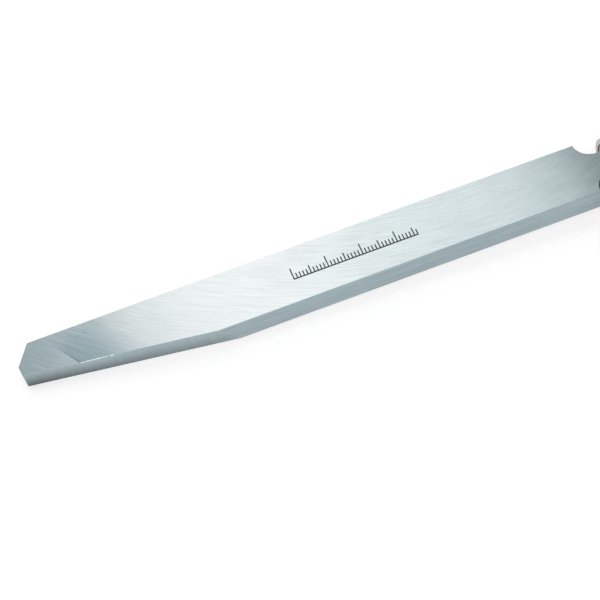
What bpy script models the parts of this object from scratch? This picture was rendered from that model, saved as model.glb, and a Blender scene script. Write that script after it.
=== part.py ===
"""Side-tapered wood-turning tool: a ground steel blade, its ferrule and its turned handle.

The tool lies along X with its nose towards -X and the handle's butt towards +X.
The blade's wide faces look up and down (Z), and its tapered side faces -Y.
The origin is the middle of the whole tool's box, on the tool's axis.
"""

import math

import bmesh
import bpy
from mathutils import Matrix, Vector

MM = 0.001

# Blade, in millimetres. Plan positions are (distance behind the nose, offset from the axis).
BLADE_WIDTH = 19.0
BLADE_THICKNESS = 6.35
NOSE_TO_SHOULDER = 164.0
SHOULDER_TO_FERRULE = 6.5
SKEW_BACK = 4.0             # far corner of the nose, behind the nose's foremost point
NOSE_POINT_Y = 2.5          # foremost point, where the skewed edge meets the small end
END_BACK = 0.38             # near end of the small end, behind the foremost point
END_Y = -0.8
TAPER_LENGTH = 53.3         # nose to the bend where the tapered side meets the full width
SIDE_RELIEF = math.radians(8.0)
END_RELIEF = math.radians(3.0)

# Shoulder scoops, neck and tang
SCOOP_RADIUS = 5.0
SCOOP_LIP = 0.4             # straight stretch of the shoulder before the scoop starts to curve
SCOOP_START = 0.1
NECK_HALF_WIDTH = 3.9
TANG_LENGTH = 74.0          # inside the handle
TANG_TIP_WIDTH = 4.0
TANG_TIP_THICKNESS = 3.6

# Ferrule
FERRULE_RADIUS = 8.5
FERRULE_WALL = 1.5
FERRULE_LENGTH = 24.0
FERRULE_CHAMFER = 0.25

# Handle. The stations are (distance behind the ferrule's front, radius) along the grip.
HANDLE_LENGTH = 254.0
HANDLE_STATIONS = [(52.0, 12.2), (92.0, 14.8), (136.0, 13.0), (176.0, 11.7), (212.0, 13.8), (238.0, 15.5)]
BEAD_FOOT = 9.2
BEAD_HEIGHT = 1.5
BEAD_HALF_LENGTH = 2.8
BEAD_LIP = 0.8
BODY_STEPS = 5
POCKET_DEPTH = 76.0

FIT_GAP = 0.3               # left between two pieces that touch
TURNING_STEPS = 40
ARC_POINTS = 8
CUTTER_SIZE = 60.0

TOTAL_LENGTH = NOSE_TO_SHOULDER + SHOULDER_TO_FERRULE + HANDLE_LENGTH
NOSE_X = -TOTAL_LENGTH / 2
SHOULDER_X = NOSE_X + NOSE_TO_SHOULDER
FERRULE_X = SHOULDER_X + SHOULDER_TO_FERRULE
TANG_TIP_X = FERRULE_X + TANG_LENGTH

STEEL = ((0.46, 0.51, 0.52, 1.0), 0.28, 1.0)
FERRULE_METAL = ((0.48, 0.49, 0.46, 1.0), 0.32, 1.0)
ASH_WOOD = ((0.62, 0.42, 0.24, 1.0), 0.42, 0.0)


def clear_scene():
    """Remove every object, so that the script can be run again."""
    for old in list(bpy.data.objects):
        bpy.data.objects.remove(old, do_unlink=True)


def new_collection(name):
    """A new collection linked to the scene."""
    made = bpy.data.collections.new(name)
    bpy.context.scene.collection.children.link(made)
    return made


def move_to(obj, collection):
    """Link the object to this collection only."""
    for old in list(obj.users_collection):
        old.objects.unlink(obj)
    collection.objects.link(obj)


def give_material(obj, name, finish):
    """A Principled material with the given colour, roughness and metallic value."""
    colour, roughness, metallic = finish
    material = bpy.data.materials.new(name)
    material.use_nodes = True
    shader = material.node_tree.nodes["Principled BSDF"]
    shader.inputs["Base Color"].default_value = colour
    shader.inputs["Roughness"].default_value = roughness
    shader.inputs["Metallic"].default_value = metallic
    material.diffuse_color = colour
    obj.data.materials.clear()
    obj.data.materials.append(material)


def arc(centre, radius, start, end, count):
    """Points on a circle from one angle to another, both in degrees."""
    points = []
    for i in range(count):
        angle = math.radians(start + (end - start) * i / (count - 1))
        points.append((centre[0] + radius * math.cos(angle), centre[1] + radius * math.sin(angle)))
    return points


def plate(name, outline, thickness, collection):
    """A flat solid from a plan outline in millimetres, centred on Z = 0, as a mesh."""
    curve = bpy.data.curves.new(name + "_outline", "CURVE")
    curve.dimensions = "2D"
    curve.fill_mode = "BOTH"
    curve.extrude = thickness / 2 * MM
    spline = curve.splines.new("POLY")
    spline.points.add(len(outline) - 1)
    for point, (x, y) in zip(spline.points, outline):
        point.co = (x * MM, y * MM, 0.0, 1.0)
    spline.use_cyclic_u = True
    flat = bpy.data.objects.new(name + "_outline", curve)
    bpy.context.scene.collection.objects.link(flat)
    bpy.context.view_layer.update()

    evaluated = flat.evaluated_get(bpy.context.evaluated_depsgraph_get())
    mesh = bpy.data.meshes.new_from_object(evaluated)
    mesh.name = name
    cleaner = bmesh.new()
    cleaner.from_mesh(mesh)
    bmesh.ops.remove_doubles(cleaner, verts=cleaner.verts, dist=0.00001)
    bmesh.ops.recalc_face_normals(cleaner, faces=cleaner.faces)
    cleaner.to_mesh(mesh)
    cleaner.free()
    solid = bpy.data.objects.new(name, mesh)
    solid.matrix_world = flat.matrix_world
    collection.objects.link(solid)
    bpy.data.objects.remove(flat, do_unlink=True)
    return solid


def turned(name, profile, collection, closed=False):
    """A turned piece along X from (distance along X, radius) points, listed from +X towards -X.

    The turning's flat facets touch the true circle, with one of them at the very bottom.
    """
    half_step = math.pi / TURNING_STEPS
    reach = MM / math.cos(half_step)
    mesh = bpy.data.meshes.new(name)
    points = [(radius * reach, 0.0, x * MM) for x, radius in profile]
    edges = [(i, i + 1) for i in range(len(points) - 1)]
    if closed:
        edges.append((len(points) - 1, 0))
    mesh.from_pydata(points, edges, [])
    obj = bpy.data.objects.new(name, mesh)
    collection.objects.link(obj)
    screw = obj.modifiers.new("turn", "SCREW")
    screw.axis = "Z"
    screw.angle = math.radians(360.0)
    screw.steps = TURNING_STEPS
    screw.render_steps = TURNING_STEPS
    screw.use_merge_vertices = True
    screw.merge_threshold = 0.00001
    screw.use_smooth_shade = True
    lay_down = Matrix.Rotation(math.radians(90.0), 4, "Y")
    obj.matrix_world = lay_down @ Matrix.Rotation(half_step, 4, "Z")
    return obj


def cut(obj, cutter):
    """Subtract the cutter from the object with an exact Boolean."""
    cutter.hide_render = True
    cutter.display_type = "WIRE"
    boolean = obj.modifiers.new("cut_" + cutter.name, "BOOLEAN")
    boolean.operation = "DIFFERENCE"
    boolean.solver = "EXACT"
    boolean.object = cutter


def facet_cutter(name, plan_a, plan_b, relief, collection):
    """A block whose one face leans in by the relief angle below the edge from plan_a to plan_b.

    Walking from plan_a to plan_b along the top edge, the blade is on the left.
    """
    bpy.ops.mesh.primitive_cube_add(size=1.0)
    block = bpy.context.object
    block.name = name
    block.data.transform(Matrix.Scale(CUTTER_SIZE * MM, 4))
    block.data.transform(Matrix.Translation((0.0, -CUTTER_SIZE / 2 * MM, 0.0)))
    start = Vector((plan_a[0] * MM, plan_a[1] * MM, BLADE_THICKNESS / 2 * MM))
    end = Vector((plan_b[0] * MM, plan_b[1] * MM, BLADE_THICKNESS / 2 * MM))
    heading = math.atan2(end.y - start.y, end.x - start.x)
    block.matrix_world = (
        Matrix.Translation((start + end) / 2)
        @ Matrix.Rotation(heading, 4, "Z")
        @ Matrix.Rotation(relief, 4, "X")
    )
    move_to(block, collection)
    return block


def tang_wedge(name, side, collection):
    """A block that thins the tang on its upper (side = 1) or lower (side = -1) face."""
    start = Vector((FERRULE_X * MM, 0.0, side * BLADE_THICKNESS / 2 * MM))
    drop = (BLADE_THICKNESS - TANG_TIP_THICKNESS) / 2
    lean = math.atan2(drop, TANG_LENGTH)
    bpy.ops.mesh.primitive_cube_add(size=1.0)
    block = bpy.context.object
    block.name = name
    length = 2 * TANG_LENGTH * MM
    height = 10.0 * MM
    block.data.transform(Matrix.Diagonal((length, CUTTER_SIZE * MM, height, 1.0)))
    block.data.transform(Matrix.Translation((length / 2, 0.0, side * height / 2)))
    block.matrix_world = Matrix.Translation(start) @ Matrix.Rotation(side * lean, 4, "Y")
    move_to(block, collection)
    return block


def blade_outline():
    """Plan of the blade's upper face with neck and tang, anticlockwise from the nose."""
    half = BLADE_WIDTH / 2
    scoop_y = NECK_HALF_WIDTH + SCOOP_RADIUS + SCOOP_LIP / 2
    scoop_x = SHOULDER_X + SCOOP_START + SCOOP_RADIUS
    near_scoop = arc((scoop_x, -scoop_y), SCOOP_RADIUS, 180.0, 90.0, ARC_POINTS)
    far_scoop = arc((scoop_x, scoop_y), SCOOP_RADIUS, 270.0, 180.0, ARC_POINTS)
    outline = [
        (NOSE_X, NOSE_POINT_Y),
        (NOSE_X + END_BACK, END_Y),
        (NOSE_X + TAPER_LENGTH, -half),
        (SHOULDER_X, -half),
    ]
    outline += near_scoop
    outline += [
        (FERRULE_X, -NECK_HALF_WIDTH),
        (TANG_TIP_X, -TANG_TIP_WIDTH / 2),
        (TANG_TIP_X, TANG_TIP_WIDTH / 2),
        (FERRULE_X, NECK_HALF_WIDTH),
    ]
    outline += far_scoop
    outline += [
        (SHOULDER_X, half),
        (NOSE_X + SKEW_BACK, half),
    ]
    return outline


def make_blade(parts, cutters):
    """The bar with its tapered side, three-facet nose, scooped shoulders and tang."""
    blade = plate("blade", blade_outline(), BLADE_THICKNESS, parts)
    half = BLADE_WIDTH / 2
    far_corner = (NOSE_X + SKEW_BACK, half)
    nose = (NOSE_X, NOSE_POINT_Y)
    end = (NOSE_X + END_BACK, END_Y)
    bend = (NOSE_X + TAPER_LENGTH, -half)
    cut(blade, facet_cutter("skew_relief", far_corner, nose, SIDE_RELIEF, cutters))
    cut(blade, facet_cutter("end_relief", nose, end, END_RELIEF, cutters))
    cut(blade, facet_cutter("side_relief", end, bend, SIDE_RELIEF, cutters))
    cut(blade, tang_wedge("tang_top", 1, cutters))
    cut(blade, tang_wedge("tang_bottom", -1, cutters))
    give_material(blade, "blade_steel", STEEL)
    return blade


def make_ferrule(parts):
    """A short drawn tube with a softened rim at each end."""
    front = FERRULE_X
    back = FERRULE_X + FERRULE_LENGTH
    inner = FERRULE_RADIUS - FERRULE_WALL
    profile = [
        (back, inner),
        (back, FERRULE_RADIUS - FERRULE_CHAMFER),
        (back - FERRULE_CHAMFER, FERRULE_RADIUS),
        (front + FERRULE_CHAMFER, FERRULE_RADIUS),
        (front, FERRULE_RADIUS - FERRULE_CHAMFER),
        (front, inner),
    ]
    ferrule = turned("ferrule", profile, parts, closed=True)
    give_material(ferrule, "ferrule_metal", FERRULE_METAL)
    return ferrule


def smooth_run(stations, steps):
    """Points of a Catmull-Rom curve through the stations, with the end stations kept."""
    first = (2 * stations[0][0] - stations[1][0], 2 * stations[0][1] - stations[1][1])
    last = (2 * stations[-1][0] - stations[-2][0], 2 * stations[-1][1] - stations[-2][1])
    padded = [first] + stations + [last]
    points = []
    for i in range(len(stations) - 1):
        p0, p1, p2, p3 = (Vector(p) for p in padded[i:i + 4])
        for k in range(steps):
            t = k / steps
            along = (p2 - p0) * t
            square = (2 * p0 - 5 * p1 + 4 * p2 - p3) * t ** 2
            cube = (3 * p1 - p0 - 3 * p2 + p3) * t ** 3
            points.append(tuple((2 * p1 + along + square + cube) / 2))
    points.append(stations[-1])
    return points


def handle_profile():
    """(distance along X, radius) down the handle's outer side, from the butt to the spigot's front."""
    spigot = FERRULE_RADIUS - FERRULE_WALL - FIT_GAP
    step = FERRULE_LENGTH + FIT_GAP
    bead_centre = step + BEAD_LIP + BEAD_HALF_LENGTH
    body_start = bead_centre + BEAD_HALF_LENGTH + BEAD_LIP
    run = [(0.0, spigot), (step, spigot), (step, BEAD_FOOT)]
    for x, height in arc((0.0, 0.0), 1.0, 180.0, 0.0, ARC_POINTS):
        run.append((bead_centre + x * BEAD_HALF_LENGTH, BEAD_FOOT + height * BEAD_HEIGHT))
    run += smooth_run([(body_start, BEAD_FOOT)] + HANDLE_STATIONS, BODY_STEPS)
    butt_start, butt_radius = HANDLE_STATIONS[-1]
    for x, height in arc((0.0, 0.0), 1.0, 90.0, 0.0, ARC_POINTS)[1:]:
        run.append((butt_start + x * (HANDLE_LENGTH - butt_start), height * butt_radius))
    run[-1] = (HANDLE_LENGTH, 0.0)
    profile = [(FERRULE_X + distance, radius) for distance, radius in reversed(run)]
    profile.append((FERRULE_X, 0.0))
    return profile


def pocket_outline():
    """Plan of the tang's pocket, a fit gap wider than the tang all round."""
    front = FERRULE_X - 1.0
    back = FERRULE_X + POCKET_DEPTH
    mouth = NECK_HALF_WIDTH + FIT_GAP
    tip = TANG_TIP_WIDTH / 2 + FIT_GAP
    return [(front, -mouth), (back, -tip), (back, tip), (front, mouth)]


def make_handle(parts, cutters):
    """The turned handle, with its spigot and the blind tapered pocket for the tang."""
    handle = turned("handle", handle_profile(), parts)
    pocket = plate("tang_pocket", pocket_outline(), BLADE_THICKNESS + 2 * FIT_GAP, cutters)
    cut(handle, pocket)
    give_material(handle, "handle_wood", ASH_WOOD)
    return handle


def main():
    clear_scene()
    parts = new_collection("turning_tool")
    cutters = new_collection("cutters")
    make_blade(parts, cutters)
    make_ferrule(parts)
    make_handle(parts, cutters)


main()
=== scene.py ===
"""Looks of the side-tapered turning tool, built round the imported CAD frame.

The tool lies along X: nose towards -X, butt towards +X, upper face of the blade towards +Z.
Sizes are in millimetres and are turned into metres with MM, except where a comment says metres.
"""

import math

import bmesh
import bpy
from mathutils import Matrix, Vector


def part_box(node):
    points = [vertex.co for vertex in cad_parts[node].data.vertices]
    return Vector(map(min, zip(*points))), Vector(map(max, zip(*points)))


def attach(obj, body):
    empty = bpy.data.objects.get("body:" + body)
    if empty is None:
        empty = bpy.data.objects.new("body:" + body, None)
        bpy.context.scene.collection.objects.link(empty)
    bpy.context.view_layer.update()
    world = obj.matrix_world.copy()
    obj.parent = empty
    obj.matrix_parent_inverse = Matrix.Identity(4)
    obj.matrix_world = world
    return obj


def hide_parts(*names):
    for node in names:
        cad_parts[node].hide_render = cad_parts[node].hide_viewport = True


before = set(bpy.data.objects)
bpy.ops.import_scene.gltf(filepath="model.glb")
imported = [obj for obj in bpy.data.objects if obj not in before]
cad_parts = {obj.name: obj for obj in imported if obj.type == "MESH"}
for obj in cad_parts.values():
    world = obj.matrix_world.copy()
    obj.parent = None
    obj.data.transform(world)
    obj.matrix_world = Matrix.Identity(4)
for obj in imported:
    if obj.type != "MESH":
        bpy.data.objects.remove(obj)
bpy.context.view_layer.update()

MM = 0.001

# ---------------------------------------------------------------- places, from the frame
BLADE_LOW, BLADE_HIGH = (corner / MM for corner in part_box("blade"))
FERRULE_LOW, FERRULE_HIGH = (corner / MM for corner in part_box("ferrule"))
HANDLE_LOW, HANDLE_HIGH = (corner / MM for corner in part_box("handle"))
NOSE_X = BLADE_LOW.x
TANG_END_X = BLADE_HIGH.x
HALF_WIDTH = BLADE_HIGH.y
TOP_Z = BLADE_HIGH.z
FERRULE_X = FERRULE_LOW.x
FERRULE_LENGTH = FERRULE_HIGH.x - FERRULE_LOW.x
FERRULE_RADIUS = FERRULE_HIGH.z
HANDLE_LENGTH = HANDLE_HIGH.x - HANDLE_LOW.x

# ---------------------------------------------------------------- blade
SKEW_BACK = 4.0
NOSE_POINT_Y = 2.5
END_BACK = 0.38
END_Y = -0.8
TAPER_LENGTH = 53.3
SIDE_RELIEF = math.radians(8.0)
END_RELIEF = math.radians(3.0)
SHOULDER_X = NOSE_X + 164.0
SCOOP_RADIUS = 5.0
SCOOP_LIP = 0.4
SCOOP_START = 0.1
SCOOP_POINTS = 40
NECK_HALF_WIDTH = 3.9
TANG_TIP_WIDTH = 4.0
TANG_TIP_THICKNESS = 3.6
ARRIS = 0.15                  # chamfer that softens the edges of the ground bar
ARRIS_ANGLE = 20.0            # degrees; flatter edges than this get no chamfer
BRIGHT_LENGTH = 7.5           # edge with painted highlights, just behind the hone line

# Honed nose: behind the hone line the face dips gently to the line, and a small step ends the dip
HONE_NEAR = Vector((NOSE_X + 15.9, -3.36))
HONE_FAR = Vector((NOSE_X + 11.7, 3.4))
# The grid over the dip: rows by distance behind the line, inner columns by share of the width
HONE_ROWS = (14.0, 11.5, 9.0, 7.0, 5.0, 3.2, 1.6, 0.3, 0.0, -0.3, -1.4, -2.8)
HONE_COLUMNS = (0.14, 0.28, 0.42, 0.54)
DIP_LENGTH = 14.0
DIP_DEPTH = 0.27
DIP_FADE = 0.45               # share of the dip lost between the hone line's two ends
DIP_LEAST = 0.15              # share of the dip that is left everywhere
STEP_WIDTH = 0.3
STEP_DEPTH = 0.05
FACET_SLOPE = 0.004
ROW_TOLERANCE = 0.01

# Kinds of blade face, numbered as their materials are in the blade's slots
WIDE_FACE, LONG_FACE, CROSS_FACE, GLINT_FACE = range(4)
# What tells them apart: parts of a face's normal, and margins along X
WIDE_LEAST_NORMAL_Z = 0.8
GLINT_LEAST_NORMAL_Z = 0.3
TAPER_MOST_NORMAL_X = -0.05
BEND_MARGIN = 6.0
NOSE_MARGIN = 0.5

# Common centre of the arc-shaped grinding marks on the wide faces
ARC_CENTRE = Vector((NOSE_X + 136.5, 128.5))

# ---------------------------------------------------------------- handle and ferrule
SPIGOT_GAP = 0.02
SPIGOT_FRONT = 0.15
SPIGOT_CHAMFER_END = 0.4
SPIGOT_CHAMFER_DEPTH = 0.3
FERRULE_WALL = 1.5
FERRULE_BREAK = 0.2
FERRULE_RIM_POINTS = 5
BEAD_FOOT = 9.2
BEAD_HEIGHT = 1.5
BEAD_HALF_LENGTH = 2.8
BEAD_LIP = 0.8
BEAD_BREAK = 0.25
# Distance behind the ferrule's front, and radius
HANDLE_STATIONS = [
    (52.0, 12.2), (92.0, 14.8), (136.0, 13.0), (176.0, 11.7), (212.0, 13.8), (238.0, 15.5),
]
TURNING_STEPS = 144
BODY_STEPS = 14
ARC_POINTS = 16
POCKET_DEPTH = 76.0
POCKET_CUTTER_LEAD = 2.0
FIT_GAP = 0.3
ROUND_ANGLE = 30.0            # degrees; edges flatter than this are shaded smooth
FLAT_ANGLE = 1.0              # degrees; the same on the blade, whose facets stay crisp

# ---------------------------------------------------------------- etched scale
SCALE_START = NOSE_X + 77.5
SCALE_LENGTH = 36
SCALE_BASE_Y = -1.4
SCALE_HEIGHT = 0.015
SCALE_SINK = 0.002
BASE_WIDTH = 0.45
BASE_GAP = 0.02
TICK_WIDTH = 0.36
TICK_LENGTH = 1.7
FIVE_TICK_LENGTH = 2.7
TEN_TICK_LENGTH = 3.8


# ================================================================ meshes
def mesh_object(name, build):
    """A new object whose mesh is filled by build(bmesh), with its normals made consistent."""
    mesh = bpy.data.meshes.new(name)
    work = bmesh.new()
    build(work)
    bmesh.ops.recalc_face_normals(work, faces=work.faces)
    work.to_mesh(mesh)
    work.free()
    obj = bpy.data.objects.new(name, mesh)
    bpy.context.scene.collection.objects.link(obj)
    return obj


def smooth_shade(mesh, angle):
    """Smooth shading, except across edges sharper than the angle in degrees."""
    mesh.shade_smooth()
    mesh.set_sharp_from_angle(angle=math.radians(angle))


def apply_modifiers(obj):
    """Replace the object's mesh by its evaluated one."""
    bpy.context.view_layer.update()
    evaluated = obj.evaluated_get(bpy.context.evaluated_depsgraph_get())
    mesh = bpy.data.meshes.new_from_object(evaluated)
    obj.modifiers.clear()
    old = obj.data
    obj.data = mesh
    bpy.data.meshes.remove(old)


def arc(centre, radius, start, end, count):
    """Points on a circle from one angle to another, both in degrees."""
    points = []
    for i in range(count):
        angle = math.radians(start + (end - start) * i / (count - 1))
        points.append((centre[0] + radius * math.cos(angle), centre[1] + radius * math.sin(angle)))
    return points


def add_prism(work, rings):
    """A closed solid between two rings of four corners, given in millimetres."""
    front, back = ([work.verts.new([value * MM for value in corner]) for corner in ring]
                   for ring in rings)
    for i in range(4):
        j = (i + 1) % 4
        work.faces.new((front[i], front[j], back[j], back[i]))
    work.faces.new(front)
    work.faces.new(back)


def crossing(a, b, c, d):
    """Where the line through a and b meets the line through c and d."""
    along = b - a
    across = d - c
    share = (c - a).cross(across) / along.cross(across)
    return a + along * share


def leaned(a, b, relief):
    """The edge from a to b, moved in to where its relieved face meets the underside."""
    along = (b - a).normalized()
    inward = Vector((-along.y, along.x)) * 2 * TOP_Z * math.tan(relief)
    return a + inward, b + inward


def hone_offset(point):
    """Distance of a point behind the hone line."""
    along = (HONE_FAR - HONE_NEAR).normalized()
    return (point - HONE_NEAR).dot(Vector((along.y, -along.x)))


def on_edge(start, end, offset):
    """The point of an edge that lies at the given distance behind the hone line."""
    first = hone_offset(start)
    last = hone_offset(end)
    return start.lerp(end, (offset - first) / (last - first))


def top_height(point):
    """Height of the upper face: flat on the bar, dipping towards the hone line, stepped at it."""
    offset = hone_offset(point)
    line = HONE_FAR - HONE_NEAR
    along = max(0.0, (point - HONE_NEAR).dot(line) / line.length_squared)
    step = STEP_DEPTH * max(0.0, 1.0 - along)
    share = min(1.0, max(0.0, (DIP_LENGTH - offset) / DIP_LENGTH))
    height = TOP_Z - DIP_DEPTH * max(DIP_LEAST, 1.0 - DIP_FADE * along) * share ** 2
    if offset < STEP_WIDTH - ROW_TOLERANCE:
        height -= step
    if offset < -ROW_TOLERANCE:
        height += FACET_SLOPE * offset
    return height


def blade_outline():
    """The blade seen from above, from the small end face round to the far nose corner.

    Returns the near edge, the far edge and the nose point, each point as (upper, lower).
    """
    nose = Vector((NOSE_X, NOSE_POINT_Y))
    end = Vector((NOSE_X + END_BACK, END_Y))
    bend = Vector((NOSE_X + TAPER_LENGTH, -HALF_WIDTH))
    far_corner = Vector((NOSE_X + SKEW_BACK, HALF_WIDTH))
    shoulder = Vector((SHOULDER_X, -HALF_WIDTH))
    far_shoulder = Vector((SHOULDER_X, HALF_WIDTH))

    skew_low = leaned(far_corner, nose, SIDE_RELIEF)
    end_low = leaned(nose, end, END_RELIEF)
    side_low = leaned(end, bend, SIDE_RELIEF)
    nose_low = crossing(*skew_low, *end_low)
    corner_low = crossing(*end_low, *side_low)
    bend_low = crossing(*side_low, bend, shoulder)
    far_low = crossing(*skew_low, far_shoulder, far_corner)

    scoop_y = NECK_HALF_WIDTH + SCOOP_RADIUS + SCOOP_LIP / 2
    scoop_x = SHOULDER_X + SCOOP_START + SCOOP_RADIUS
    back = [shoulder]
    back += [Vector(p) for p in arc((scoop_x, -scoop_y), SCOOP_RADIUS, 180.0, 90.0, SCOOP_POINTS)]
    back += [Vector((FERRULE_X, -NECK_HALF_WIDTH)), Vector((TANG_END_X, -TANG_TIP_WIDTH / 2))]

    near = [(end, corner_low)]
    far = [(far_corner, far_low)]
    for offset in reversed(HONE_ROWS):
        point = on_edge(end, bend, offset)
        share = (point - end).length / (bend - end).length
        near.append((point, corner_low.lerp(bend_low, share)))
        point = on_edge(far_corner, far_shoulder, offset)
        share = (point - far_corner).length / (far_shoulder - far_corner).length
        far.append((point, far_low.lerp(far_shoulder, share)))
    near.append((bend, bend_low))
    near += [(p, p) for p in back]
    far += [(Vector((p.x, -p.y)), Vector((p.x, -p.y))) for p in back]
    return near, far, (nose, nose_low)


def tang_height(x):
    """Half thickness of the blade at x: full along the bar, thinning along the tang."""
    share = max(0.0, (x - FERRULE_X) / (TANG_END_X - FERRULE_X))
    return TOP_Z + (TANG_TIP_THICKNESS / 2 - TOP_Z) * share


def build_blade(work):
    """Sides lofted between the two outlines, a grid over the honed dip, flat faces elsewhere."""
    near, far, nose = blade_outline()

    def upper_vert(point):
        height = tang_height(point.x) if point.x > FERRULE_X else top_height(point)
        return work.verts.new((point.x, point.y, height))

    def ring_verts(pair):
        upper, lower = pair
        return upper_vert(upper), work.verts.new((lower.x, lower.y, -tang_height(lower.x)))

    near_verts = [ring_verts(pair) for pair in near]
    far_verts = [ring_verts(pair) for pair in far]
    nose_verts = ring_verts(nose)
    loop = [nose_verts] + near_verts + far_verts[::-1]
    for one, other in zip(loop, loop[1:] + loop[:1]):
        work.faces.new((one[0], one[1], other[1], other[0]))

    rows = []
    for i in range(1, len(HONE_ROWS) + 1):
        row = [near_verts[i][0]]
        for share in HONE_COLUMNS:
            row.append(upper_vert(near[i][0].lerp(far[i][0], share)))
        row.append(far_verts[i][0])
        rows.append(row)
    for row, after in zip(rows, rows[1:]):
        for j in range(len(row) - 1):
            work.faces.new((row[j], after[j], after[j + 1], row[j + 1]))

    last = len(HONE_ROWS)
    neck = len(near) - 2
    work.faces.new([nose_verts[0], near_verts[0][0]] + rows[0] + [far_verts[0][0]])
    upper_near = [v[0] for v in near_verts[last + 1:neck + 1]]
    upper_far = [v[0] for v in far_verts[last + 1:neck]]
    work.faces.new(rows[-1][::-1] + upper_near + upper_far[::-1])
    work.faces.new([v[1] for v in [nose_verts] + near_verts[:neck + 1] + far_verts[:neck][::-1]])
    for level in (0, 1):
        work.faces.new((near_verts[neck][level], near_verts[neck + 1][level],
                        far_verts[neck][level], far_verts[neck - 1][level]))


def make_blade():
    """The ground bar with softened arrises, in millimetres first and then in metres."""
    blade = mesh_object("blade_body", build_blade)
    bevel = blade.modifiers.new("arris", "BEVEL")
    bevel.limit_method = "ANGLE"
    bevel.angle_limit = math.radians(ARRIS_ANGLE)
    bevel.width = ARRIS
    bevel.segments = 1
    bevel.use_clamp_overlap = False
    apply_modifiers(blade)
    for polygon in blade.data.polygons:
        polygon.material_index = face_kind(polygon)
    blade.data.transform(Matrix.Scale(MM, 4))
    smooth_shade(blade.data, FLAT_ANGLE)
    return blade


def face_kind(polygon):
    """Wide, ground lengthways, ground across or arris with painted glints, from a face's middle and
    normal.
    """
    normal = polygon.normal
    if abs(normal.z) > WIDE_LEAST_NORMAL_Z:
        return WIDE_FACE
    middle = polygon.center
    behind_line = 0.0 < hone_offset(middle.xy) < BRIGHT_LENGTH
    if middle.y < 0 and normal.z > GLINT_LEAST_NORMAL_Z and behind_line:
        return GLINT_FACE
    before_bend = middle.y < 0 and middle.x < NOSE_X + TAPER_LENGTH + BEND_MARGIN
    on_taper = before_bend and normal.x < TAPER_MOST_NORMAL_X
    on_nose = middle.x < NOSE_X + SKEW_BACK + NOSE_MARGIN
    return CROSS_FACE if on_taper or on_nose else LONG_FACE


def turned_mesh(profile, closed):
    """Builder for a piece turned round X from (place along X, radius) points."""
    def build(work):
        rings = []
        for x, radius in profile:
            if radius == 0.0:
                rings.append([work.verts.new((x * MM, 0.0, 0.0))])
                continue
            ring = []
            for k in range(TURNING_STEPS):
                angle = 2 * math.pi * k / TURNING_STEPS
                y = radius * math.cos(angle) * MM
                z = radius * math.sin(angle) * MM
                ring.append(work.verts.new((x * MM, y, z)))
            rings.append(ring)
        pairs = list(zip(rings, rings[1:]))
        if closed:
            pairs.append((rings[-1], rings[0]))
        for one, other in pairs:
            for k in range(TURNING_STEPS):
                n = (k + 1) % TURNING_STEPS
                if len(one) == 1:
                    work.faces.new((one[0], other[k], other[n]))
                elif len(other) == 1:
                    work.faces.new((one[k], one[n], other[0]))
                else:
                    work.faces.new((one[k], one[n], other[n], other[k]))
    return build


def make_ferrule():
    """A stout tube with faced ends and lightly broken rims."""
    front = FERRULE_X
    back = FERRULE_X + FERRULE_LENGTH
    outer = FERRULE_RADIUS
    inner = outer - FERRULE_WALL
    soft = FERRULE_BREAK
    profile = [(front, inner), (front, outer - soft)]
    profile += arc((front + soft, outer - soft), soft, 180.0, 90.0, FERRULE_RIM_POINTS)[1:]
    profile += arc((back - soft, outer - soft), soft, 90.0, 0.0, FERRULE_RIM_POINTS)
    profile.append((back, inner))
    ferrule = mesh_object("ferrule_tube", turned_mesh(profile, True))
    smooth_shade(ferrule.data, ROUND_ANGLE)
    return ferrule


def smooth_run(stations, steps):
    """Points of a Catmull-Rom curve through the stations, with the end stations kept."""
    first = (2 * stations[0][0] - stations[1][0], 2 * stations[0][1] - stations[1][1])
    last = (2 * stations[-1][0] - stations[-2][0], 2 * stations[-1][1] - stations[-2][1])
    padded = [first] + stations + [last]
    points = []
    for i in range(len(stations) - 1):
        p0, p1, p2, p3 = (Vector(p) for p in padded[i:i + 4])
        for k in range(steps):
            t = k / steps
            along = (p2 - p0) * t
            square = (2 * p0 - 5 * p1 + 4 * p2 - p3) * t ** 2
            cube = (3 * p1 - p0 - 3 * p2 + p3) * t ** 3
            points.append(tuple((2 * p1 + along + square + cube) / 2))
    points.append(stations[-1])
    return points


def handle_profile():
    """(x, radius) from the front of the spigot to the butt."""
    spigot = FERRULE_RADIUS - FERRULE_WALL - SPIGOT_GAP
    step = FERRULE_LENGTH + SPIGOT_GAP
    bead_centre = FERRULE_LENGTH + FIT_GAP + BEAD_LIP + BEAD_HALF_LENGTH
    body_start = bead_centre + BEAD_HALF_LENGTH + BEAD_LIP
    run = [(SPIGOT_FRONT, 0.0), (SPIGOT_FRONT, spigot - SPIGOT_CHAMFER_DEPTH)]
    run += [(SPIGOT_CHAMFER_END, spigot), (step, spigot)]
    run += [(step, BEAD_FOOT - BEAD_BREAK), (step + BEAD_BREAK, BEAD_FOOT)]
    for x, height in arc((0.0, 0.0), 1.0, 180.0, 0.0, ARC_POINTS):
        run.append((bead_centre + x * BEAD_HALF_LENGTH, BEAD_FOOT + height * BEAD_HEIGHT))
    run += smooth_run([(body_start, BEAD_FOOT)] + HANDLE_STATIONS, BODY_STEPS)
    butt_start, butt_radius = HANDLE_STATIONS[-1]
    for x, height in arc((0.0, 0.0), 1.0, 90.0, 0.0, ARC_POINTS)[1:]:
        run.append((butt_start + x * (HANDLE_LENGTH - butt_start), height * butt_radius))
    run[-1] = (HANDLE_LENGTH, 0.0)
    return [(FERRULE_X + distance, radius) for distance, radius in run]


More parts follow.
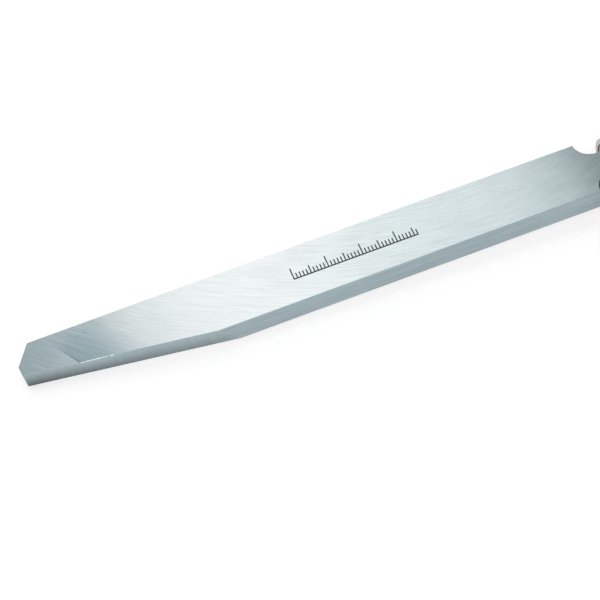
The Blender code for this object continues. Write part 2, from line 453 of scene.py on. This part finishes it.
def build_pocket(work):
    """The tang's pocket, as a cutter that starts in front of the handle."""
    front = FERRULE_X - POCKET_CUTTER_LEAD
    back = FERRULE_X + POCKET_DEPTH
    mouth = NECK_HALF_WIDTH + FIT_GAP / 2
    tip = TANG_TIP_WIDTH / 2 + FIT_GAP / 2
    z = TOP_Z + FIT_GAP / 2
    add_prism(work, [((x, -y, -z), (x, y, -z), (x, y, z), (x, -y, z))
                     for x, y in ((front, mouth), (back, tip))])


def make_handle():
    """The turned handle with its tang pocket."""
    handle = mesh_object("handle_grip", turned_mesh(handle_profile(), False))
    pocket = mesh_object("pocket_cutter", build_pocket)
    boolean = handle.modifiers.new("pocket", "BOOLEAN")
    boolean.operation = "DIFFERENCE"
    boolean.solver = "EXACT"
    boolean.object = pocket
    apply_modifiers(handle)
    bpy.data.objects.remove(pocket, do_unlink=True)
    smooth_shade(handle.data, ROUND_ANGLE)
    return handle


def tick_length(i):
    """Length of the scale's tick number i: longer at each fifth, longest at each tenth."""
    if i % 10 == 0:
        return TEN_TICK_LENGTH
    if i % 5 == 0:
        return FIVE_TICK_LENGTH
    return TICK_LENGTH


def build_scale(work):
    """A plain length scale: a base line and a tick each millimetre."""
    def bar(x0, x1, y0, y1):
        add_prism(work, [((x0, y0, z), (x1, y0, z), (x1, y1, z), (x0, y1, z))
                         for z in (TOP_Z - SCALE_SINK, TOP_Z + SCALE_HEIGHT)])

    half = TICK_WIDTH / 2
    bar(SCALE_START - half, SCALE_START + SCALE_LENGTH + half, SCALE_BASE_Y - BASE_WIDTH, SCALE_BASE_Y)
    for i in range(SCALE_LENGTH + 1):
        x = SCALE_START + i
        bar(x - half, x + half, SCALE_BASE_Y + BASE_GAP, SCALE_BASE_Y + tick_length(i))


# ================================================================ materials
# Colours, as linear red, green and blue
WIDE_FACE_COLOUR = (0.45, 0.52, 0.54)
# Painted shade: the sides' steel is darker than the wide faces', for the shaded table that the sides
# mirror
SIDE_STEEL_AND_SHADE_COLOUR = (0.33, 0.407, 0.43)
# Painted highlight: the bright glints of the arris behind the hone line
GLINT_DARK = (0.46, 0.52, 0.53)
GLINT_PAINTED_BRIGHT = (0.93, 0.95, 0.94)
ETCH_DARK = (0.028, 0.034, 0.042)
ETCH_PALE = (0.09, 0.105, 0.12)
FERRULE_COLOUR = (0.47, 0.47, 0.45)
FERRULE_WORN_COLOUR = (0.38, 0.385, 0.37)
ASH_PALE = (0.71, 0.465, 0.245)
ASH_DEEP = (0.61, 0.375, 0.185)
LATE_WOOD_COLOUR = (0.36, 0.205, 0.095)
PORE_COLOUR = (0.17, 0.09, 0.04)
# Painted shade: the end grain inside the ferrule's mouth
END_GRAIN_PAINTED_SHADE = (0.27, 0.26, 0.235)
TABLE_COLOUR = (0.86, 0.86, 0.86)
TABLE_GLOW_COLOUR = (1.0, 0.9, 0.892)

# Painted shade and light, placed along the tool: first where each one changes, in millimetres, then
# how strong it is
FOOT_SPAN = (4.0, 40.0)       # behind the nose
FADE_SPAN = (50.0, 61.0)      # behind the nose
CREST_SPAN = (4.0, 14.0)      # behind the nose
NECK_SPAN = (-8.0, 3.0)       # behind the shoulder
HOLLOW_SPAN = (6.0, 15.0)     # behind the hone line
HOLLOW_RUN = (6.0, 12.0)      # along the hone line, from its near end
END_GRAIN_SPAN = (0.3, 0.8)   # behind the ferrule's front
FOOT_PAINTED_SHADES = (0.26, 0.58)
FOOT_FADE = 0.4
CREST_PAINTED_LEVELS = (0.95, 1.05)
CREST_RISE = 0.6              # height at which the crest's tone begins, by half thicknesses
NECK_PAINTED_SHADE = 0.8
# Painted shade on the honed nose and, darkest and bluish, on the hollow behind it
HONED_PAINTED_SHADE = (0.93, 0.945, 0.965)
HOLLOW_PAINTED_SHADE = (0.80, 0.875, 0.91)
NO_TINT = (1.0, 1.0, 1.0)

# Growth rings, in metres
PITH_Y = 0.034
PITH_Z = -0.022
RING_WANDER = 0.006
RING_LEAN = 0.012             # change of radius for each metre along the handle
RINGS_PER_METRE = 420.0

# Heights of the bump reliefs, in metres
STEEL_RELIEF = 0.000002
FERRULE_RELIEF = 0.000003
WOOD_RELIEF = 0.00003

NOISE_SPAN = (0.3, 0.7)       # holds most of the values of a noise


def span(start, places):
    """Two places in metres, given in millimetres behind a start."""
    return (start + places[0]) * MM, (start + places[1]) * MM


class Nodes:
    """Short calls for building one material's node tree."""

    def __init__(self, name):
        self.material = bpy.data.materials.new(name)
        self.material.use_nodes = True
        self.tree = self.material.node_tree
        self.shader = self.tree.nodes["Principled BSDF"]

    def add(self, kind, props=None, **inputs):
        """A new node with its properties set and its inputs linked or set."""
        node = self.tree.nodes.new("ShaderNode" + kind)
        for key, value in (props or {}).items():
            setattr(node, key, value)
        for key, value in inputs.items():
            self.plug(node, key, value)
        return node

    def plug(self, node, key, value):
        """Link or set one input, found by its name, or by its number where the key is i0, i1 ..."""
        numbered = key[0] == "i" and key[1:].isdigit()
        socket = node.inputs[int(key[1:])] if numbered else node.inputs[key]
        if isinstance(value, bpy.types.NodeSocket):
            self.tree.links.new(value, socket)
        else:
            socket.default_value = value

    def math(self, operation, a, b=0.0, c=0.0):
        """One arithmetic step on numbers or sockets."""
        return self.add("Math", {"operation": operation}, i0=a, i1=b, i2=c).outputs[0]

    def noise(self, vector, scale, detail, roughness):
        """Fractal noise from 0 to 1."""
        made = self.add("TexNoise", None, Vector=vector, Scale=scale, Detail=detail,
                        Roughness=roughness)
        return made.outputs["Fac"]

    def ramp(self, fac, *stops):
        """A colour ramp; each stop is (position, grey level or colour)."""
        node = self.add("ValToRGB", None, Fac=fac)
        ramp = node.color_ramp
        while len(ramp.elements) < len(stops):
            ramp.elements.new(0.5)
        for element, (position, colour) in zip(ramp.elements, stops):
            element.position = position
            level = (colour, colour, colour) if isinstance(colour, float) else colour
            element.color = (*level, 1.0)
        return node.outputs["Color"]

    def range(self, value, source, target):
        """The value carried from the source's pair of limits to the target's, and clamped."""
        return self.add("MapRange", None, i0=value, i1=source[0], i2=source[1],
                        i3=target[0], i4=target[1]).outputs[0]

    def mix(self, kind, fac, a, b):
        """Mix two colours, each a socket or (red, green, blue), with the given blend type."""
        a, b = ((*colour, 1.0) if isinstance(colour, tuple) else colour for colour in (a, b))
        node = self.add("Mix", {"data_type": "RGBA", "blend_type": kind, "clamp_result": True},
                        i0=fac, i6=a, i7=b)
        return node.outputs[2]

    def scaled(self, x, y, z, factors):
        """A vector of x, y and z, each times its own factor."""
        products = [self.math("MULTIPLY", value, factor) for value, factor in zip((x, y, z), factors)]
        return self.vector(*products)

    def vector(self, x, y, z):
        return self.add("CombineXYZ", None, X=x, Y=y, Z=z).outputs[0]

    def coordinates(self):
        """The object's own coordinates, in metres."""
        return self.add("TexCoord").outputs["Object"]

    def split(self, vector):
        """The x, y and z of a vector."""
        return tuple(self.add("SeparateXYZ", None, Vector=vector).outputs)

    def bump(self, height, distance):
        """A bumped normal; distance is the relief's depth in metres."""
        return self.add("Bump", None, Height=height, Distance=distance).outputs["Normal"]


def steel(name, streak, tone, roughness, depth, shade_at=None):
    """Ground steel: streak gives a vector that is fast across the marks, shade_at a painted shade.

    Beside the neck all of it is darker, as painted shade next to the ferrule.
    """
    n = Nodes(name)
    coordinates = n.coordinates()
    x, y, z = n.split(coordinates)
    marks = streak(n, x, y, z)
    coarse = n.noise(marks, scale=1.0, detail=3.0, roughness=0.6)
    fine = n.noise(marks, scale=3.1, detail=2.0, roughness=0.7)
    cloud = n.noise(coordinates, scale=90.0, detail=2.0, roughness=0.5)
    level = n.range(coarse, NOISE_SPAN, (1.0 - depth, 1.0 + depth))
    level = n.math("MULTIPLY", level, n.range(cloud, NOISE_SPAN, (0.97, 1.02)))
    # Painted shade: darker beside the neck, next to the ferrule
    level = n.math("MULTIPLY", level, n.range(x, span(SHOULDER_X, NECK_SPAN), (1.0, NECK_PAINTED_SHADE)))
    colour = n.mix("MULTIPLY", 1.0, tone, level)
    if shade_at:
        colour = n.mix("MULTIPLY", 1.0, colour, shade_at(n, x, y, z))
    n.plug(n.shader, "Base Color", colour)
    n.plug(n.shader, "Metallic", 1.0)
    rough = n.range(n.math("ADD", coarse, fine), (0.6, 1.4), (roughness - 0.04, roughness + 0.06))
    n.plug(n.shader, "Roughness", rough)
    height = n.math("MULTIPLY_ADD", fine, 0.4, coarse)
    n.plug(n.shader, "Normal", n.bump(height, STEEL_RELIEF))
    return n.material


def painted_foot_shade(n, x, y, z):
    """Painted shade: the relief grinds are darker towards their foot, most of all beside the nose, for
    the shaded table they mirror; towards their top they are painted slightly lighter.
    """
    rise = n.range(z, (-TOP_Z * MM, CREST_RISE * TOP_Z * MM), (0.0, 1.0))
    foot = n.range(x, span(NOSE_X, FOOT_SPAN), FOOT_PAINTED_SHADES)
    fade = n.range(x, span(NOSE_X, FADE_SPAN), (0.0, FOOT_FADE))
    crest = n.range(x, span(NOSE_X, CREST_SPAN), CREST_PAINTED_LEVELS)
    foot = n.math("ADD", foot, fade)
    return n.math("MULTIPLY_ADD", n.math("SUBTRACT", crest, foot), rise, foot)


def painted_hone_shade(n, x, y, z):
    """Painted shade: the honed nose is painted a little darker, and the hollow behind it darkest and
    bluish, for the darker reflection they show.
    """
    line = (HONE_FAR - HONE_NEAR).normalized()
    dx = n.math("SUBTRACT", x, HONE_NEAR.x * MM)
    dy = n.math("SUBTRACT", y, HONE_NEAR.y * MM)
    offset = n.math("MULTIPLY_ADD", dx, line.y, n.math("MULTIPLY", dy, -line.x))
    along = n.math("MULTIPLY_ADD", dx, line.x, n.math("MULTIPLY", dy, line.y))
    start = n.range(offset, (0.0, STEP_WIDTH * MM), (0.0, 1.0))
    end = n.range(offset, span(0.0, HOLLOW_SPAN), (1.0, 0.0))
    near = n.range(along, span(0.0, HOLLOW_RUN), (1.0, 0.0))
    hollow = n.math("MULTIPLY", n.math("MULTIPLY", start, end), near)
    nose = n.mix("MIX", start, HONED_PAINTED_SHADE, NO_TINT)
    return n.mix("MIX", hollow, nose, HOLLOW_PAINTED_SHADE)


def arc_marks(n, x, y, z):
    """Marks on circles round their common centre."""
    dx = n.math("SUBTRACT", x, ARC_CENTRE.x * MM)
    dy = n.math("SUBTRACT", ARC_CENTRE.y * MM, y)
    radius = n.math("SQRT", n.math("ADD", n.math("MULTIPLY", dx, dx), n.math("MULTIPLY", dy, dy)))
    angle = n.math("ARCTAN2", dx, dy)
    return n.vector(n.math("MULTIPLY", radius, 2300.0), n.math("MULTIPLY", angle, 11.0), z)


def long_marks(n, x, y, z):
    """Marks along the tool."""
    return n.scaled(x, y, z, (50.0, 1500.0, 1500.0))


def cross_marks(n, x, y, z):
    """Marks across the edge, from face to face."""
    return n.scaled(x, y, z, (1300.0, 1300.0, 90.0))


def painted_glint_material():
    """Steel of the arris, painted bright in short glints along the edge: painted highlights."""
    n = Nodes("painted_glint_edge")
    glints = n.noise(n.coordinates(), scale=1500.0, detail=2.0, roughness=0.6)
    n.plug(n.shader, "Base Color", n.ramp(glints, (0.4, GLINT_DARK), (0.58, GLINT_PAINTED_BRIGHT)))
    n.plug(n.shader, "Metallic", 1.0)
    n.plug(n.shader, "Roughness", n.range(glints, (0.35, 0.65), (0.42, 0.3)))
    return n.material


def etched_material():
    """Dark oxide of the etched scale, a little uneven."""
    n = Nodes("etched_oxide")
    blotch = n.noise(n.coordinates(), scale=2500.0, detail=3.0, roughness=0.6)
    n.plug(n.shader, "Base Color", n.ramp(blotch, (0.3, ETCH_DARK), (0.7, ETCH_PALE)))
    n.plug(n.shader, "Metallic", 0.4)
    n.plug(n.shader, "Roughness", n.range(blotch, NOISE_SPAN, (0.45, 0.6)))
    return n.material


def ferrule_material():
    """Drawn tube, polished in the lathe, so its fine lines run round it."""
    n = Nodes("ferrule_satin")
    coordinates = n.coordinates()
    x = n.split(coordinates)[0]
    rings = n.noise(n.vector(n.math("MULTIPLY", x, 5200.0), 0.0, 0.0), scale=1.0, detail=3.0,
                    roughness=0.7)
    wear = n.noise(coordinates, scale=260.0, detail=3.0, roughness=0.6)
    level = n.math("MULTIPLY_ADD", rings, 0.14, 0.9)
    worn = n.range(wear, (0.35, 0.7), (0.0, 0.5))
    tone = n.mix("MIX", worn, FERRULE_COLOUR, FERRULE_WORN_COLOUR)
    n.plug(n.shader, "Base Color", n.mix("MULTIPLY", 1.0, tone, level))
    n.plug(n.shader, "Metallic", 1.0)
    n.plug(n.shader, "Roughness", n.range(wear, NOISE_SPAN, (0.22, 0.36)))
    n.plug(n.shader, "Normal", n.bump(rings, FERRULE_RELIEF))
    return n.material


def growth_ring(n, x, y, z):
    """Place within a growth ring, 0 to 1, on wandering rings that lean along the handle."""
    slow = n.noise(n.scaled(x, y, z, (9.0, 40.0, 40.0)), scale=1.0, detail=2.0, roughness=0.5)
    wander = n.math("MULTIPLY", n.math("SUBTRACT", slow, 0.5), RING_WANDER)
    from_y = n.math("ADD", n.math("SUBTRACT", y, PITH_Y), wander)
    from_z = n.math("ADD", n.math("SUBTRACT", z, PITH_Z), wander)
    squares = n.math("ADD", n.math("MULTIPLY", from_y, from_y), n.math("MULTIPLY", from_z, from_z))
    distance = n.math("SQRT", squares)
    leaning = n.math("MULTIPLY_ADD", x, RING_LEAN, distance)
    return n.math("FRACT", n.math("MULTIPLY", leaning, RINGS_PER_METRE))


def wood_material():
    """Ash: growth rings round a pith beside the handle, open pores, a satin lacquer.

    The end grain inside the ferrule is painted dark grey, as painted shade in the ferrule's mouth.
    """
    n = Nodes("lacquered_ash")
    x, y, z = n.split(n.coordinates())
    ring = growth_ring(n, x, y, z)
    late = n.ramp(ring, (0.0, 0.0), (0.55, 0.15), (0.88, 1.0), (1.0, 0.05))
    early = n.ramp(ring, (0.0, 1.0), (0.3, 0.85), (0.5, 0.0), (0.97, 0.0))

    fibre = n.noise(n.scaled(x, y, z, (60.0, 2600.0, 2600.0)), scale=1.0, detail=3.0, roughness=0.6)
    dots = n.noise(n.scaled(x, y, z, (190.0, 3400.0, 3400.0)), scale=1.0, detail=1.0, roughness=0.5)
    pores = n.math("MULTIPLY", n.range(dots, (0.60, 0.70), (0.0, 1.0)), early)
    blotch = n.noise(n.scaled(x, y, z, (14.0, 70.0, 70.0)), scale=1.0, detail=3.0, roughness=0.55)

    pale = n.mix("MIX", blotch, ASH_PALE, ASH_DEEP)
    grained = n.mix("MIX", n.math("MULTIPLY", late, 0.62), pale, LATE_WOOD_COLOUR)
    fibred = n.mix("MULTIPLY", 1.0, grained, n.range(fibre, NOISE_SPAN, (0.9, 1.06)))
    pored = n.mix("MIX", n.math("MULTIPLY", pores, 0.75), fibred, PORE_COLOUR)
    # Painted shade on the end grain inside the ferrule
    end_grain = n.range(x, span(FERRULE_X, END_GRAIN_SPAN), (0.85, 0.0))
    n.plug(n.shader, "Base Color", n.mix("MIX", end_grain, pored, END_GRAIN_PAINTED_SHADE))
    n.plug(n.shader, "Roughness", n.range(fibre, NOISE_SPAN, (0.38, 0.52)))
    n.plug(n.shader, "Coat Weight", 0.35)
    n.plug(n.shader, "Coat Roughness", 0.16)
    lines = n.noise(n.vector(n.math("MULTIPLY", x, 1600.0), 0.0, 0.0), scale=1.0, detail=2.0,
                    roughness=0.6)
    relief = n.math("SUBTRACT", n.math("MULTIPLY", fibre, 0.35), pores)
    relief = n.math("MULTIPLY_ADD", lines, 0.3, relief)
    n.plug(n.shader, "Normal", n.bump(relief, WOOD_RELIEF))
    return n.material


def floor_material():
    """A pale matt sheet with a slight glow of its own, like a product table lit from below."""
    n = Nodes("pale_table")
    n.plug(n.shader, "Base Color", (*TABLE_COLOUR, 1.0))
    n.plug(n.shader, "Roughness", 0.9)
    n.plug(n.shader, "Emission Color", (*TABLE_GLOW_COLOUR, 1.0))
    n.plug(n.shader, "Emission Strength", TABLE_GLOW)
    return n.material


# ================================================================ stage
CAMERA_TARGET = Vector((NOSE_X + 76.94, -6.56, 0.0))
CAMERA_AZIMUTH = math.radians(-8.541)
CAMERA_ELEVATION = math.radians(50.469)
CAMERA_ROLL = math.radians(-13.442)
CAMERA_DISTANCE = 478.0
CAMERA_LENS = 106.38
CAMERA_SENSOR = 36.0
CAMERA_NEAREST = 0.01         # metres
CAMERA_FARTHEST = 100.0       # metres

TABLE_GLOW = 0.54
TABLE_GAP = 0.05
TABLE_HALF_SIDE = 30.0        # metres, so that its edge is far off in low views
RESTING_STATION = 1           # the handle's station that rests on the table

# Lights, in metres. Each strip of the key is (name, start and end along X, radiance, lean in
# degrees, colour), and side by side the strips make one soft box
KEY_FACING = Vector((0.0, 0.64, 0.76)).normalized()
KEY_DISTANCE = 0.8
KEY_HEIGHT = 0.4
KEY_STRIPS = (
    ("key_edge", -0.29, -0.192, 0.3, 0.0, (1.0, 1.0, 1.0)),
    ("key_bright_half", -0.192, -0.018, 1.72, 0.0, (1.0, 0.835, 0.80)),
    ("key_soft_half", -0.018, 0.155, 1.25, 6.0, (1.0, 0.905, 0.87)),
)
FRONT_FILL_PLACE = (-0.25, -0.95, 0.85)
FRONT_FILL_SIZE = (1.1, 0.8)
FRONT_FILL_RADIANCE = 1.2
OVERHEAD_FILL_PLACE = (0.0, 0.05, 1.3)
OVERHEAD_FILL_SIZE = (1.0, 0.45)
OVERHEAD_FILL_RADIANCE = 0.9
ROOM_COLOUR = (0.83, 0.99, 1.0)
ROOM_LEVEL = 0.46


def direction(azimuth, elevation):
    """Unit vector from the tool towards the given azimuth (0 is -Y, 90 is +X) and elevation."""
    return Vector((
        math.sin(azimuth) * math.cos(elevation),
        -math.cos(azimuth) * math.cos(elevation),
        math.sin(elevation),
    ))


def make_camera():
    """The camera, which looks down on the blade from its tapered side and is rolled a little."""
    back = direction(CAMERA_AZIMUTH, CAMERA_ELEVATION)
    data = bpy.data.cameras.new("camera")
    data.sensor_width = CAMERA_SENSOR
    data.lens = CAMERA_LENS
    data.clip_start = CAMERA_NEAREST
    data.clip_end = CAMERA_FARTHEST
    camera = bpy.data.objects.new("camera", data)
    bpy.context.scene.collection.objects.link(camera)
    place = Matrix.Translation((CAMERA_TARGET + back * CAMERA_DISTANCE) * MM)
    aim = (-back).to_track_quat("-Z", "Y").to_matrix().to_4x4()
    camera.matrix_world = place @ aim @ Matrix.Rotation(CAMERA_ROLL, 4, "Z")
    bpy.context.scene.camera = camera


def soft_box(name, place, facing, size, radiance, lean=0.0, colour=(1.0, 1.0, 1.0)):
    """A soft box that shines along -facing; lean turns it in its own plane. Sizes in metres."""
    data = bpy.data.lights.new(name, "AREA")
    data.shape = "RECTANGLE"
    data.size, data.size_y = size
    data.energy = radiance * math.pi * size[0] * size[1]
    data.color = colour
    light = bpy.data.objects.new(name, data)
    bpy.context.scene.collection.objects.link(light)
    normal = Vector(facing).normalized()
    level = Vector((1.0, 0.0, 0.0))
    level = (level - normal * level.dot(normal)).normalized()
    rise = normal.cross(level)
    axes = Matrix((level, rise, normal)).transposed().to_4x4()
    light.matrix_world = Matrix.Translation(place) @ axes @ Matrix.Rotation(lean, 4, "Z")


def make_floor():
    """The sheet that the tool lies on: it passes under the nose and under the handle's swell."""
    swell_x, swell_radius = HANDLE_STATIONS[RESTING_STATION]
    tilt = math.atan2(swell_radius - TOP_Z, FERRULE_X + swell_x - NOSE_X)
    half = TABLE_HALF_SIDE

    def build(work):
        corners = ((-half, -half), (half, -half), (half, half), (-half, half))
        work.faces.new([work.verts.new((x, y, 0.0)) for x, y in corners])

    floor = mesh_object("table_sheet", build)
    touch = Vector((NOSE_X, 0.0, -TOP_Z - TABLE_GAP)) * MM
    floor.matrix_world = Matrix.Translation(touch) @ Matrix.Rotation(tilt, 4, "Y")
    floor.data.materials.append(floor_material())


def make_lights():
    """A key box mirrored by the blade's upper face, a front and an overhead fill, an even room."""
    for name, start, end, radiance, lean, colour in KEY_STRIPS:
        place = KEY_FACING * KEY_DISTANCE + Vector(((start + end) / 2, 0.0, 0.0))
        size = (end - start, KEY_HEIGHT)
        soft_box(name, place, KEY_FACING, size, radiance, math.radians(lean), colour)
    soft_box("front_fill", FRONT_FILL_PLACE, FRONT_FILL_PLACE, FRONT_FILL_SIZE, FRONT_FILL_RADIANCE)
    soft_box("overhead_fill", OVERHEAD_FILL_PLACE, (0.0, 0.0, 1.0), OVERHEAD_FILL_SIZE,
             OVERHEAD_FILL_RADIANCE)
    world = bpy.data.worlds.new("room")
    world.use_nodes = True
    background = world.node_tree.nodes["Background"]
    background.inputs["Color"].default_value = (*ROOM_COLOUR, 1.0)
    background.inputs["Strength"].default_value = ROOM_LEVEL
    bpy.context.scene.world = world


# ================================================================ pieces
def finish_piece(piece, node, slot, *materials):
    """Materials, body and replaced node of one visible piece; slot is not used."""
    for material in materials:
        piece.data.materials.append(material)
    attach(piece, "root")
    if node:
        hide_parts(node)


def main():
    bpy.context.scene.view_settings.view_transform = "Standard"
    make_camera()
    make_floor()
    make_lights()
    wide = steel("ground_wide_faces", arc_marks, WIDE_FACE_COLOUR, roughness=0.20, depth=0.11,
                 shade_at=painted_hone_shade)
    side = steel("ground_long_sides", long_marks, SIDE_STEEL_AND_SHADE_COLOUR, roughness=0.36, depth=0.12)
    nose = steel("ground_nose", cross_marks, SIDE_STEEL_AND_SHADE_COLOUR, roughness=0.34, depth=0.08,
                 shade_at=painted_foot_shade)
    finish_piece(make_blade(), "blade", "blade_steel", wide, side, nose, painted_glint_material())
    finish_piece(mesh_object("etched_scale", build_scale), None, "blade_steel", etched_material())
    finish_piece(make_ferrule(), "ferrule", "ferrule_metal", ferrule_material())
    finish_piece(make_handle(), "handle", "handle_wood", wood_material())


main()
